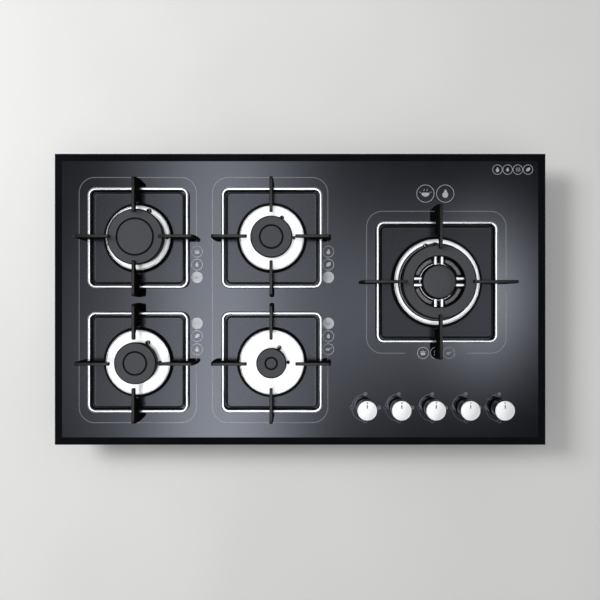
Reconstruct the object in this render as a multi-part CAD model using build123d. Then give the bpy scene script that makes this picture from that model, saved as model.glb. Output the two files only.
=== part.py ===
from build123d import *
import os
from collections import namedtuple
from math import atan2, cos, degrees, hypot, pi

# Built-in gas hob with five burners. Millimetres. The origin is the centre of the worktop plane that the
# hob rests on, with +X to the right, +Y to the rear and +Z up. What is below the plane hangs in the cut-out.

# Thin rods and hidden posts have a few flat sides in place of a round one
few_sides = 8

# Glass plate, and the seal that it rests on
glass_width = 860.0
glass_depth = 510.0
glass_thickness = 8.0
bevel_width = 13.5
bevel_drop = 2.0
seal_thickness = 2.0
seal_width = 10.0
seal_inset = 2.0

# Folded sheet-metal casing under the glass
sheet = 1.0
casing_inset = 23.0
casing_drop = 52.0
flange_width = 8.0
vent_length = 60.0
vent_width = 4.0
vent_pitch = 12.0
vents_in_row = 4
vent_setback = 36.0

# Pan supports: a square ring of bar, and four cast fingers that straddle it
bar = 6.0
bar_lift = 2.0
frame_corner = 14.0
weld_fillet = 5.0
finger_thickness = 5.2
finger_top = 36.0
finger_depth = 8.5
finger_nose = 3.0
finger_clear = 2.2
foot_rake = 2.5
web_lift = 3.2
web_clear = 2.5

# Drip trays inside the rings, each with a raised collar round its burner
tray_gap = 2.0
tray_sheet = 1.5
tray_clip = 4.0
collar_height = 9.0
collar_width = 3.5
dish_play = 0.3

# Burners: polished cup, slotted flame spreader and enamelled cap
dish_height = 6.5
post_play = 2.0
spreader_height = 14.0
spreader_inset = 2.0
slot_width = 2.0
slot_depth = 7.0
slot_length = 8.0
slot_overrun = 1.0
cap_thickness = 4.3
bridge_width = 17.0
bridge_drop = 1.2
bridge_groove = 4.0
base_plate = 4.5

# Ignition electrode and flame sensor beside each burner head
electrode_radius = 2.2
electrode_height = 10.5
electrode_reach = 2.4
tip_width = 1.4
tip_height = 3.2
sensor_radius = 1.8
sensor_height = 13.0

# Controls: knob on a D-section spindle whose flat tang turns the plug of the tap
knob_radius = 17.0
knob_height = 24.0
knob_flat_count = 36
knob_chamfer = 1.0
knob_lift = 4.0
knob_count = 5
knob_row_from_middle = 163.4
knob_row_from_side = 81.6
knob_row_from_front = 65.5
spindle_radius = 3.0
spindle_flat = 0.8
spindle_play = 2.5
push_travel = 3.0
push_spare = 0.5
tang_thickness = 2.0
tang_length = 5.0
tang_play = 0.25

# Gas taps on their rail, and the inlet at the rear
tap_width = 24.0
tap_depth = 30.0
tap_height = 26.0
tap_top = -16.0
plug_across = 10.0
plug_length = 14.0
plug_sunk = 1.0
plug_play = 0.4
rail_side = 14.0
rail_foot = 20.0
rail_from_right = 54.0
rail_z = -33.0
inlet_radius = 10.48
inlet_length = 22.0
inlet_nut = 4.0
inlet_nut_across = 24.0
inlet_bore = 7.0
inlet_play = 0.5

# Straps that carry the burner cups, and the injectors and pipes under them
strap_width = 30.0
strap_sheet = 2.0
strap_top = -31.0
strap_reach = 66.0
strap_foot = 12.0
injector_across = 14.0
injector_height = 12.0
pipe_radius = 3.0
pipe_play = 0.4

# Electrical parts
generator_size = (64.0, 34.0, 26.0)
generator_from_rear = 85.0
switch_width = 14.0
switch_depth = 8.0
switch_play = 2.0
gland_across = 18.0
gland_length = 14.0
gland_bore = 4.0
gland_neck = 6.0
neck_play = 0.4
gland_from_inlet = 76.0
gland_z = -30.0
terminal_size = (34.0, 20.0, 22.0)
terminal_gap = 10.0

# Clamps that pull the casing up under the worktop
clamp_width = 26.0
clamp_sheet = 2.0
clamp_reach = 20.0
clamp_height = 22.0
worktop_thickness = 40.0
clamp_from_side = 180.0

# Radii of caps and posts
rapid_cap = 48.0
rapid_post = 24.0
semi_rapid_cap = 36.0
semi_rapid_post = 20.0
auxiliary_cap = 26.0
auxiliary_post = 16.0
wok_cap = 62.6
wok_post = 36.0
wok_ring_bore = 43.5
wok_centre_cap = 30.0
wok_centre_slots = 10

# Places of the burners. The shares are of the glass's width, from its nearer side to the burner's centre.
left_share = 0.1723
wok_share = 0.2233
column_pitch = 232.6
row_pitch = 216.4
rows_forward = 1.2
wok_back = 30.0

# Small burners and wok: ring span between bar centres, radius of the dish, and how far the fingers reach,
# inwards from the burner's centre and outwards past the bar
small_span = 170.0
small_dish = 56.0
small_tip = 41.0
small_overhang = 13.0
wok_span = 206.0
wok_dish = 75.0
wok_tip = 56.0
wok_overhang = 25.5

# Each burner has its place, those sizes, a count of flame slots, and the angles of its electrode and sensor
Burner = namedtuple("Burner", "name x y span dish cap post slots tip end electrode sensor")
left_x = (left_share - 0.5) * glass_width
middle_x = left_x + column_pitch
rear_y, front_y = row_pitch / 2 - rows_forward, -row_pitch / 2 - rows_forward
small_end = small_span / 2 + bar / 2 + small_overhang
wok_end = wok_span / 2 + bar / 2 + wok_overhang
small = dict(span=small_span, dish=small_dish, tip=small_tip, end=small_end, sensor=0.0)
rapid = dict(small, cap=rapid_cap, post=rapid_post, slots=20, electrode=67.0)
semi_rapid = dict(small, cap=semi_rapid_cap, post=semi_rapid_post, slots=16, electrode=63.0)
auxiliary = dict(small, cap=auxiliary_cap, post=auxiliary_post, slots=12, electrode=63.0)
wok = Burner("wok", (0.5 - wok_share) * glass_width, wok_back, wok_span, wok_dish, wok_cap, wok_post, 20,
             wok_tip, wok_end, 108.0, 94.0)
burners = [
    Burner("rear_left", left_x, rear_y, **rapid),
    Burner("rear_middle", middle_x, rear_y, **semi_rapid),
    Burner("front_left", left_x, front_y, **semi_rapid),
    Burner("front_middle", middle_x, front_y, **auxiliary),
    wok,
]

# Which burner each tap feeds, from left to right, so that no two pipes cross
fed_by_tap = ["front_left", "front_middle", "rear_left", "rear_middle", "wok"]

# Levels and widths that follow from the sizes above
glass_floor = seal_thickness
glass_top = glass_floor + glass_thickness
casing_floor = -casing_drop + sheet
casing_width = glass_width - 2 * casing_inset
casing_depth = glass_depth - 2 * casing_inset
dish_top = glass_top + dish_height
spreader_top = dish_top + spreader_height
cap_top = spreader_top + cap_thickness
bar_top = glass_top + bar_lift + bar
knob_floor = glass_top + knob_lift
tap_floor = tap_top - tap_height
plug_top = tap_top - plug_sunk
first_knob_x, last_knob_x = middle_x + knob_row_from_middle, glass_width / 2 - knob_row_from_side
knob_pitch = (last_knob_x - first_knob_x) / (knob_count - 1)
knob_row_y = -glass_depth / 2 + knob_row_from_front
rail_x = glass_width / 2 - rail_from_right
rail_y = knob_row_y - tap_depth / 2 - rail_side / 2
gland_x = rail_x - gland_from_inlet
clamp_x = glass_width / 2 - clamp_from_side
generator_at = ((middle_x + wok.x) / 2, glass_depth / 2 - generator_from_rear)
knob_places = [(first_knob_x + i * knob_pitch, knob_row_y) for i in range(knob_count)]


def slab(outline, low, high):
    """An outline drawn on the XY plane, raised from one level to another."""
    return Pos(0, 0, low) * extrude(outline, high - low)


def disc(radius, low, high):
    return slab(Circle(radius), low, high)


def block(size, centre, low):
    return Pos(*centre, low) * Box(*size, align=(Align.CENTER, Align.CENTER, Align.MIN))


def turned(*points):
    """A closed outline of (radius, level) points, turned about the Z axis."""
    return revolve(Plane.XZ * make_face(Polyline(*points, close=True)), Axis.Z)


def cylinder_y(radius, x, z, start, end):
    """A cylinder along Y, from one Y to another."""
    return Pos(x, start, z) * Rot(-90, 0, 0) * disc(radius, 0, end - start)


def at(burner, shape):
    return Pos(burner.x, burner.y, 0) * shape


def save(node, *shapes):
    """One file for each sub-part, whatever number of separate pieces it has."""
    pieces = [solid for shape in shapes for solid in shape.solids()]
    export_step(pieces[0] if len(pieces) == 1 else Compound(children=pieces), f"parts/{node}.step")


def hexagon(across):
    return RegularPolygon(across / 2, 6, major_radius=False)


def hex_corner(across):
    """Radius of the circle through the corners of a hexagon that is so far across its flats."""
    return across / 2 / cos(pi / 6)


def clipped(side, cut):
    """A square with its corners cut off."""
    square = Rectangle(side, side)
    return chamfer(square.vertices(), cut)


def top_face(shape):
    return shape.faces().sort_by(Axis.Z)[-1]


def glass_plate():
    """Plate with a wide shallow bevel all round, and holes for the posts and the spindles."""
    plate = slab(Rectangle(glass_width, glass_depth), glass_floor, glass_top)
    face = top_face(plate)
    plate = chamfer(face.edges(), bevel_width, bevel_drop, reference=face)
    for burner in burners:
        plate -= at(burner, slab(post_outline(burner, post_play), glass_floor, glass_top))
    for x, y in knob_places:
        plate -= Pos(x, y, 0) * slab(spindle_outline(spindle_play), glass_floor, glass_top)
    return plate


def worktop_seal():
    width, depth = glass_width - 2 * seal_inset, glass_depth - 2 * seal_inset
    ring = Rectangle(width, depth) - Rectangle(width - 2 * seal_width, depth - 2 * seal_width)
    return slab(ring, 0, seal_thickness)


def bottom_casing():
    """Open tub with a brim that is bonded to the glass, and openings for air, gas and mains."""
    brim = Rectangle(casing_width + 2 * flange_width, casing_depth + 2 * flange_width)
    tub = slab(Rectangle(casing_width, casing_depth), -casing_drop, glass_floor)
    tub += slab(brim, glass_floor - sheet, glass_floor)
    tub -= slab(Rectangle(casing_width - 2 * sheet, casing_depth - 2 * sheet), casing_floor, glass_floor)
    vent = Box(vent_length, vent_width, 4 * sheet)
    for x in (left_x, middle_x, wok.x):
        for i in range(vents_in_row):
            y = casing_depth / 2 - vent_setback + (i - (vents_in_row - 1) / 2) * vent_pitch
            tub -= Pos(x, y, -casing_drop) * vent
    rear = casing_depth / 2
    tub -= cylinder_y(inlet_radius + inlet_play, rail_x, rail_z, rear - 2 * sheet, rear + sheet)
    gland_hole = slab(neck_outline(neck_play), -2 * sheet, 2 * sheet)
    return tub - Pos(gland_x, rear, gland_z) * Rot(90, 0, 0) * gland_hole


def support_frame(burner):
    """Bar welded into a square ring, rounded outside, with a weld fillet in each inner corner."""
    outer, inner = burner.span + bar, burner.span - bar
    ring = RectangleRounded(outer, outer, frame_corner) - clipped(inner, weld_fillet)
    return at(burner, slab(ring, bar_top - bar, bar_top))


def finger(burner):
    """One cast finger along +X: foot on the glass, notch over the bar, deep web to the collar, and nose."""
    top = glass_top + finger_top
    bar_in, bar_out = burner.span / 2 - bar / 2, burner.span / 2 + bar / 2
    under = cap_top + finger_clear
    web = burner.dish + dish_play + collar_width + web_clear
    outline = Polyline(
        (bar_out, bar_top),
        (bar_out, glass_top),
        (burner.end + foot_rake, glass_top),
        (burner.end, top - finger_nose),
        (burner.end - finger_nose, top),
        (burner.tip, top),
        (burner.tip, top - finger_depth),
        (burner.dish - web_clear, under),
        (web, under - finger_depth),
        (web, glass_top + web_lift),
        (bar_in, glass_top + web_lift),
        (bar_in, bar_top),
        close=True,
    )
    return extrude(Plane.XZ * make_face(outline), finger_thickness / 2, both=True)


def support_fingers(burner):
    return [at(burner, Rot(0, 0, turn) * finger(burner)) for turn in (0, 90, 180, 270)]


def drip_tray(burner):
    hole = burner.dish + dish_play
    outline = clipped(burner.span - bar - 2 * tray_gap, tray_clip) - Circle(hole)
    plate = slab(outline, glass_top, glass_top + tray_sheet)
    collar = turned((hole, glass_top), (hole + collar_width, glass_top), (hole, glass_top + collar_height))
    return at(burner, plate + collar)


def post_outline(burner, play=0.0):
    return RegularPolygon(burner.post + play, few_sides)


def burner_cup(burner):
    """Cast cup: a polished dish on the glass, and the flat-sided post that stands on the strap below."""
    post = slab(post_outline(burner), strap_top, glass_top)
    return at(burner, disc(burner.dish, glass_top, dish_top) + post)


def flame_slots(radius, length, count):
    """Notches of that length in the top of a drum of that radius, which open through its side."""
    size = (length + slot_overrun, slot_width, slot_depth)
    cutter = block(size, (radius - (length - slot_overrun) / 2, 0), spreader_top - slot_depth)
    return [Rot(0, 0, (i + 0.5) * 360 / count) * cutter for i in range(count)]


def flame_spreader(burner):
    radius = burner.cap - spreader_inset
    drum = disc(radius, dish_top, spreader_top)
    return at(burner, drum - flame_slots(radius, slot_length, burner.slots))


def wok_spreader():
    """Ring head and centre head on one base, tied by four grooved bridges."""
    outer, bore = wok.cap - spreader_inset, wok_ring_bore + spreader_inset
    centre = wok_centre_cap - spreader_inset
    base_top = dish_top + base_plate
    ring = disc(outer, dish_top, spreader_top) - disc(bore, base_top, spreader_top)
    ring -= flame_slots(outer, outer - bore + slot_overrun, wok.slots)
    head = disc(centre, base_top, spreader_top) - flame_slots(centre, slot_length, wok_centre_slots)
    body = ring + head
    bridge_top = spreader_top - bridge_drop
    reach = 2 * (bore + slot_overrun)
    bridge = block((reach, bridge_width, bridge_top - base_top), (0, 0), base_top)
    bridge -= block((reach, bridge_groove, bridge_groove), (0, 0), bridge_top - bridge_groove)
    bridge -= disc(centre, base_top, spreader_top)
    bridge &= disc(bore, base_top, spreader_top)
    return at(wok, body + [Rot(0, 0, turn) * bridge for turn in (0, 90)])


def burner_cap(radius, bore=0.0):
    plate = Circle(radius)
    if bore:
        plate -= Circle(bore)
    return slab(plate, spreader_top, cap_top)


def beside(burner, angle, shape):
    """Stands a shape on the dish next to the burner's head."""
    reach = burner.cap + electrode_reach
    return at(burner, Rot(0, 0, angle) * Pos(reach, 0, 0) * shape)


def stub(radius, height):
    return slab(RegularPolygon(radius, few_sides), dish_top, dish_top + height)


def electrode(burner):
    high = dish_top + electrode_height
    tip = block((2 * electrode_radius, tip_width, tip_height), (-electrode_radius / 2, 0), high)
    return beside(burner, burner.electrode, stub(electrode_radius, electrode_height) + tip)


def flame_sensor(burner):
    return beside(burner, burner.sensor, stub(sensor_radius, sensor_height))


def knob():
    """Metal knob with narrow flats round its grip and a bevelled top edge."""
    grip = slab(RegularPolygon(knob_radius, knob_flat_count), knob_floor, knob_floor + knob_height)
    return chamfer(top_face(grip).edges(), knob_chamfer)


def spindle_outline(play=0.0):
    return RegularPolygon(spindle_radius + play, few_sides)


def tap_spindle():
    """Shaft from the knob down through the glass, ending in the tang that sits in the plug's slot."""
    shaft_end = plug_top + push_travel + push_spare
    flat = Pos(0, 2 * spindle_radius - spindle_flat) * Rectangle(4 * spindle_radius, 2 * spindle_radius)
    shaft = slab(spindle_outline() - flat, shaft_end, knob_floor)
    across = 2 * (spindle_radius - spindle_flat)
    tang_end = plug_top - tang_length
    return shaft + block((tang_thickness, across, shaft_end - tang_end), (0, 0), tang_end)


def tap_plug():
    depth = tang_length + push_travel + push_spare
    slot = block((tang_thickness + 2 * tang_play, 2 * plug_across, depth), (0, 0), plug_top - depth)
    return slab(hexagon(plug_across), plug_top - plug_length, plug_top) - slot


def gas_tap():
    body = block((tap_width, tap_depth, tap_height), (0, 0), tap_floor)
    pocket = 2 * (hex_corner(plug_across) + plug_play)
    depth = plug_sunk + plug_length
    return body - block((pocket, pocket, depth), (0, 0), tap_top - depth)


def gas_rail():
    """Square rail along the taps, then to the rear wall, where the threaded inlet leaves the casing."""
    rear = casing_depth / 2
    wall, tip = rear - sheet, rear + inlet_length
    start, end = knob_places[0][0] - tap_width / 2, rail_x + rail_side / 2
    low = rail_z - rail_side / 2
    rail = block((end - start, rail_side, rail_side), ((start + end) / 2, rail_y), low)
    rail += block((rail_side, wall - rail_y, rail_side), (rail_x, (wall + rail_y) / 2), low)
    for x in (start + rail_foot, rail_x - rail_foot):
        rail += block((rail_side, rail_side, low - casing_floor), (x, rail_y), casing_floor)
    rail += cylinder_y(inlet_radius, rail_x, rail_z, wall, tip)
    rail += Pos(rail_x, rear, rail_z) * Rot(-90, 0, 0) * slab(hexagon(inlet_nut_across), 0, inlet_nut)
    return rail - cylinder_y(inlet_bore, rail_x, rail_z, wall, tip)


def burner_strap(centres, y):
    """Bent strip that stands on the casing floor and carries the posts of one row of burners."""
    low, high = casing_floor, strap_top
    left, right = min(centres) - strap_reach, max(centres) + strap_reach
    outline = Polyline(
        (left - strap_foot, low),
        (left + strap_sheet, low),
        (left + strap_sheet, high - strap_sheet),
        (right - strap_sheet, high - strap_sheet),
        (right - strap_sheet, low),
        (right + strap_foot, low),
        (right + strap_foot, low + strap_sheet),
        (right, low + strap_sheet),
        (right, high),
        (left, high),
        (left, low + strap_sheet),
        (left - strap_foot, low + strap_sheet),
        close=True,
    )
    return Pos(0, y, 0) * extrude(Plane.XZ * make_face(outline), strap_width / 2, both=True)


def injector(burner):
    high = strap_top - strap_sheet
    return at(burner, slab(hexagon(injector_across), high - injector_height, high))


def burner_pipe(place, burner):
    """Straight pipe from the rear of a tap to the side of an injector."""
    z = strap_top - strap_sheet - injector_height / 2
    start = (place[0], place[1] + tap_depth / 2)
    dx, dy = burner.x - start[0], burner.y - start[1]
    run = hypot(dx, dy)
    leave = (pipe_radius * abs(dx) / run + pipe_play) * run / dy
    arrive = run - hex_corner(injector_across) - pipe_play
    pipe = Rot(0, 90, 0) * slab(RegularPolygon(pipe_radius, few_sides), leave, arrive)
    return Pos(*start, z) * Rot(0, 0, degrees(atan2(dy, dx))) * pipe


def ignition_switch():
    centre = tap_depth / 2 - switch_depth / 2
    return block((switch_width, switch_depth, glass_floor - switch_play - tap_top), (0, centre), tap_top)


def neck_outline(play=0.0):
    return RegularPolygon(gland_neck + play, few_sides)


def mains_gland():
    """Hexagonal gland in the rear wall, with the bore for the mains cord."""
    rear = casing_depth / 2
    head = slab(hexagon(gland_across), 0, gland_length)
    body = Pos(gland_x, rear, gland_z) * Rot(-90, 0, 0) * head
    body += Pos(gland_x, rear, gland_z) * Rot(90, 0, 0) * slab(neck_outline(), 0, terminal_gap)
    return body - cylinder_y(gland_bore, gland_x, gland_z, rear - terminal_gap, rear + gland_length)


def terminal_block():
    centre = (gland_x, casing_depth / 2 - terminal_gap - terminal_size[1] / 2)
    return block(terminal_size, centre, casing_floor)


def hold_down_clamp():
    """Angle on the casing wall, drawn for the rear wall; its tab takes hold under the worktop."""
    wall = casing_depth / 2
    low, high = -worktop_thickness - clamp_sheet, -worktop_thickness
    outline = Polyline(
        (wall, low),
        (wall + clamp_reach, low),
        (wall + clamp_reach, high),
        (wall + clamp_sheet, high),
        (wall + clamp_sheet, high + clamp_height),
        (wall, high + clamp_height),
        close=True,
    )
    return extrude(Plane.YZ * make_face(outline), clamp_width / 2, both=True)


if __name__ == "__main__":
    os.makedirs("parts", exist_ok=True)
    by_name = {burner.name: burner for burner in burners}
    small_burners = [burner for burner in burners if burner is not wok]
    save("glass_plate", glass_plate())
    save("worktop_seal", worktop_seal())
    save("bottom_casing", bottom_casing())
    for burner in burners:
        save(f"{burner.name}_support_frame", support_frame(burner))
        save(f"{burner.name}_support_fingers", *support_fingers(burner))
    save("drip_trays", *[drip_tray(burner) for burner in burners])
    save("burner_cups", *[burner_cup(burner) for burner in burners])
    save("flame_spreaders", *[flame_spreader(burner) for burner in small_burners], wok_spreader())
    wok_caps = [burner_cap(wok.cap, wok_ring_bore), burner_cap(wok_centre_cap)]
    small_caps = [at(burner, burner_cap(burner.cap)) for burner in small_burners]
    save("burner_caps", *small_caps, *[at(wok, cap) for cap in wok_caps])
    save("electrodes", *[electrode(burner) for burner in burners])
    save("flame_sensors", *[flame_sensor(burner) for burner in burners])
    for i, (x, y) in enumerate(knob_places, 1):
        save(f"knob_{i}", Pos(x, y, 0) * knob())
        save(f"tap_spindle_{i}", Pos(x, y, 0) * tap_spindle())
        save(f"tap_plug_{i}", Pos(x, y, 0) * tap_plug())
    save("gas_taps", *[Pos(x, y, 0) * gas_tap() for x, y in knob_places])
    save("gas_rail", gas_rail())
    save("burner_straps", *[burner_strap([left_x, middle_x], y) for y in (rear_y, front_y)],
         burner_strap([wok.x], wok.y))
    save("injectors", *[injector(burner) for burner in burners])
    routes = zip(knob_places, fed_by_tap)
    save("burner_pipes", *[burner_pipe(place, by_name[name]) for place, name in routes])
    save("spark_generator", block(generator_size, generator_at, casing_floor))
    save("ignition_switches", *[Pos(x, y, 0) * ignition_switch() for x, y in knob_places])
    save("mains_terminal", mains_gland(), terminal_block())
    save("hold_down_clamps", *[Rot(0, 0, turn) * Pos(x, 0, 0) * hold_down_clamp()
                               for turn in (0, 180) for x in (-clamp_x, clamp_x)])
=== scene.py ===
from math import cos, hypot, pi, radians, sin, tan
import bmesh
import bpy
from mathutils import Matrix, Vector


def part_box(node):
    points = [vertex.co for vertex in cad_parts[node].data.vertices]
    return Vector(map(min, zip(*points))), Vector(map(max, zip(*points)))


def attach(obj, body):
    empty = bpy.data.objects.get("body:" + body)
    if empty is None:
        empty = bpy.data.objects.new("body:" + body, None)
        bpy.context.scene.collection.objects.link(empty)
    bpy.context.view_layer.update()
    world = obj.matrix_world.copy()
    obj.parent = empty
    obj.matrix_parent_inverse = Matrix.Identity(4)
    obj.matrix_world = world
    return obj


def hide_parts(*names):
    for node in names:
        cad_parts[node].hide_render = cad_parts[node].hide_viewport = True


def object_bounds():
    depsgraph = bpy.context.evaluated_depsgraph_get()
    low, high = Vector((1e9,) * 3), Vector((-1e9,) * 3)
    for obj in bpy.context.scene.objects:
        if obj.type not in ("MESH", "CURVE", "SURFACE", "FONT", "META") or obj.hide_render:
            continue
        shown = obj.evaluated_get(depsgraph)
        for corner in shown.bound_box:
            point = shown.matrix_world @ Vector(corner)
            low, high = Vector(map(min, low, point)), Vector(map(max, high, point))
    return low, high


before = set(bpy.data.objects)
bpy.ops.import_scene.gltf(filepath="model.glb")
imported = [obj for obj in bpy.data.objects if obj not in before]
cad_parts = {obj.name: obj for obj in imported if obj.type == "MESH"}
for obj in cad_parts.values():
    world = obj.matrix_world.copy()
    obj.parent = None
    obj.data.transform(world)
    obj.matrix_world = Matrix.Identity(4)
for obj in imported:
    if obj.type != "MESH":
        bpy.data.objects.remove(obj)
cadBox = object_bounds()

# Built-in gas hob with five burners, dressed round its CAD frame. Sizes are in mm until a mesh is made.
mm = 0.001


def boxOf(name):
    low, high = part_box(name)
    return low / mm, high / mm


def topOf(name):
    return boxOf(name)[1].z


def middleOf(name):
    low, high = boxOf(name)
    return (low.x + high.x) / 2, (low.y + high.y) / 2


# each burner: dish, cap, post and disc (inside the cap's groove) are radii, tip is the fingers' inner end,
# electrode and sensor are angles, and ports counts the slots of the flame spreader
smallBurner = dict(dish=56, tip=41, electrode=63, sensor=0)
burners = {
    "rear_left": dict(smallBurner, cap=48, post=24, disc=29.6, ports=32, electrode=67),
    "rear_middle": dict(smallBurner, cap=36, post=20, disc=18.0, ports=24),
    "front_left": dict(smallBurner, cap=36, post=20, disc=18.0, ports=24),
    "front_middle": dict(smallBurner, cap=26, post=16, disc=8.4, ports=16),
    "wok": dict(dish=74.6, tip=56, cap=63.8, post=36, ports=40, electrode=108, sensor=94),
}
for name, b in burners.items():
    low, high = boxOf(f"{name}_support_frame")
    b["at"] = middleOf(f"{name}_support_frame")
    b["frame"] = (high.x - low.x) / 2

# heights that the pieces share, read from the CAD nodes
levels = dict(glass=topOf("glass_plate"), strap=boxOf("burner_cups")[0].z, dish=topOf("burner_cups"),
              spreader=topOf("flame_spreaders"), cap=topOf("burner_caps"), bar=topOf("wok_support_frame"),
              finger=topOf("wok_support_fingers"), knobLow=boxOf("knob_1")[0].z, knobHigh=topOf("knob_1"))


def linear(code):
    # a hex colour as the linear values that Blender takes
    channels = [int(code[i:i + 2], 16) / 255 for i in (1, 3, 5)]
    return [c / 12.92 if c <= 0.04045 else ((c + 0.055) / 1.055) ** 2.4 for c in channels] + [1]


def node(tree, kind, settings=None, **links):
    # settings are values of sockets or of the node; links give a socket, by name or as i0, i1, its source
    made = tree.nodes.new("ShaderNode" + kind)
    for key, value in (settings or {}).items():
        if key in made.inputs or key.isdigit():
            made.inputs[int(key) if key.isdigit() else key].default_value = value
        else:
            setattr(made, key, value)
    for key, source in links.items():
        key = key.replace("_", " ")
        target = made.inputs[int(key[1:])] if key[0] == "i" and key[1:].isdigit() else made.inputs[key]
        tree.links.new(source, target)
    return made


def newMaterial(name, colour):
    # the material, its empty tree, and the place on the object that each pattern starts from
    made = bpy.data.materials.new(name)
    made.use_nodes = True
    made.node_tree.nodes.clear()
    made.diffuse_color = linear(colour)
    return made, made.node_tree, node(made.node_tree, "TexCoord").outputs["Object"]


def dress(tree, pattern, colours, gloss, depth=0.0, spread=(0.35, 0.65), settings=None, **links):
    # one pattern drives the colour, the roughness and, where it has a depth in mm, the relief
    ramp = node(tree, "ValToRGB", Fac=pattern)
    for stop, place, colour in zip(ramp.color_ramp.elements, spread, colours):
        stop.position, stop.color = place, linear(colour)
    rough = node(tree, "MapRange", {"To Min": gloss[0], "To Max": gloss[1]}, Value=pattern)
    if depth:
        relief = node(tree, "Bump", {"Strength": 0.6, "Distance": depth * mm}, Height=pattern)
        links["Normal"] = relief.outputs["Normal"]
    shader = node(tree, "BsdfPrincipled", settings, Base_Color=ramp.outputs["Color"],
                  Roughness=rough.outputs["Result"], **links)
    node(tree, "OutputMaterial", Surface=shader.outputs["BSDF"])


def grained(name, colours, gloss, size, depth=0.0, stretch=(1, 1, 1), detail=2.0, **settings):
    # a surface whose grain, in mm, is drawn out along the axes with a small stretch
    made, tree, place = newMaterial(name, colours[1])
    drawn = node(tree, "Mapping", {"Scale": stretch}, Vector=place)
    noise = node(tree, "TexNoise", {"Scale": 1 / (size * mm), "Detail": detail}, Vector=drawn.outputs[0])
    dress(tree, noise.outputs["Fac"], colours, gloss, depth, settings=settings)
    return made


def spun(name, colours, gloss, pitch, depth, around=0.0, metallic=1.0):
    # metal turned on a lathe: rings of one cutting pitch, in mm, about the piece's own axis
    made, tree, place = newMaterial(name, colours[1])
    flat = node(tree, "VectorMath", {"operation": "MULTIPLY", "1": (1, 1, 0)}, i0=place)
    radius = node(tree, "VectorMath", {"operation": "LENGTH"}, i0=flat.outputs["Vector"])
    rings = node(tree, "TexNoise", {"noise_dimensions": "1D", "Scale": 1 / (pitch * mm), "Detail": 3.0},
                 W=radius.outputs["Value"])
    tangent = node(tree, "Tangent", {"direction_type": "RADIAL", "axis": "Z"})
    dress(tree, rings.outputs["Fac"], colours, gloss, depth, (0.3, 0.6),
          {"Metallic": metallic, "Anisotropic": around}, Tangent=tangent.outputs[0])
    return made


def spangled(name, colours, gloss, size, metallic):
    # hot-dip galvanised sheet: each zinc crystal, some mm across, has its own grey
    made, tree, place = newMaterial(name, colours[1])
    cells = node(tree, "TexVoronoi", {"Scale": 1 / (size * mm)}, Vector=place)
    grey = node(tree, "RGBToBW", Color=cells.outputs["Color"])
    dress(tree, grey.outputs[0], colours, gloss, spread=(0.2, 0.8), settings={"Metallic": metallic})
    return made


def foamed(name, colours, gloss, size, depth):
    # closed-cell foam: matte, with a skin of small pits
    made, tree, place = newMaterial(name, colours[1])
    cells = node(tree, "TexVoronoi", {"Scale": 1 / (size * mm)}, Vector=place)
    dress(tree, cells.outputs["Distance"], colours, gloss, depth, (0.1, 0.6))
    return made


# glass and enamel shine a little blue
coolShine = {"Specular Tint": linear("#e8eeff")}
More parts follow.
